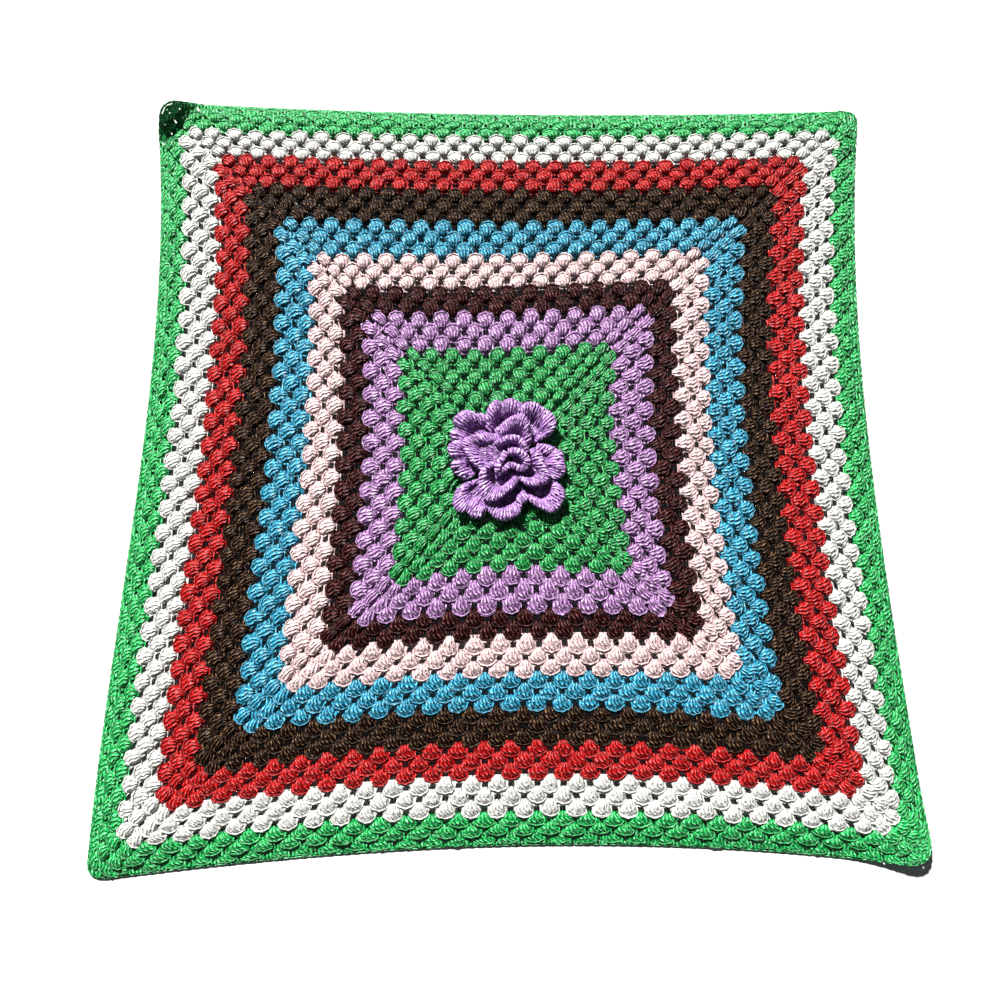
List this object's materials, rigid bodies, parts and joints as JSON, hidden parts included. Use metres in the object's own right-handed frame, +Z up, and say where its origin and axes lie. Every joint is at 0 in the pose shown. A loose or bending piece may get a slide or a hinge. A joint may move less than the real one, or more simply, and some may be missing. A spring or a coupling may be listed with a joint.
{
  "type": "crochet baby blanket",
  "caption": "Square crochet baby blanket lying flat, worked in coloured rounds from an openwork middle, with a raised crochet rose sewn at its centre.",
  "frame": {"origin": "centre of the blanket's box, on the surface that it lies on", "axes": "+Z up from the surface, +Y towards the far side, whose left corner curls up, and +X towards the right side"},
  "size_m": [0.8012, 0.7792, 0.0253],
  "materials": {
    "green_yarn": "matt twisted acrylic yarn",
    "lavender_yarn": "matt twisted acrylic yarn",
    "maroon_yarn": "matt twisted acrylic yarn",
    "pink_yarn": "matt twisted acrylic yarn",
    "blue_yarn": "matt twisted acrylic yarn",
    "brown_yarn": "matt twisted acrylic yarn",
    "red_yarn": "matt twisted acrylic yarn",
    "white_yarn": "matt twisted acrylic yarn"
  },
  "bodies": {
    "root": {"blanket": "green_yarn", "rose_outer": "lavender_yarn", "rose_inner": "lavender_yarn", "rose_heart": "lavender_yarn"}
  },
  "joints": []
}
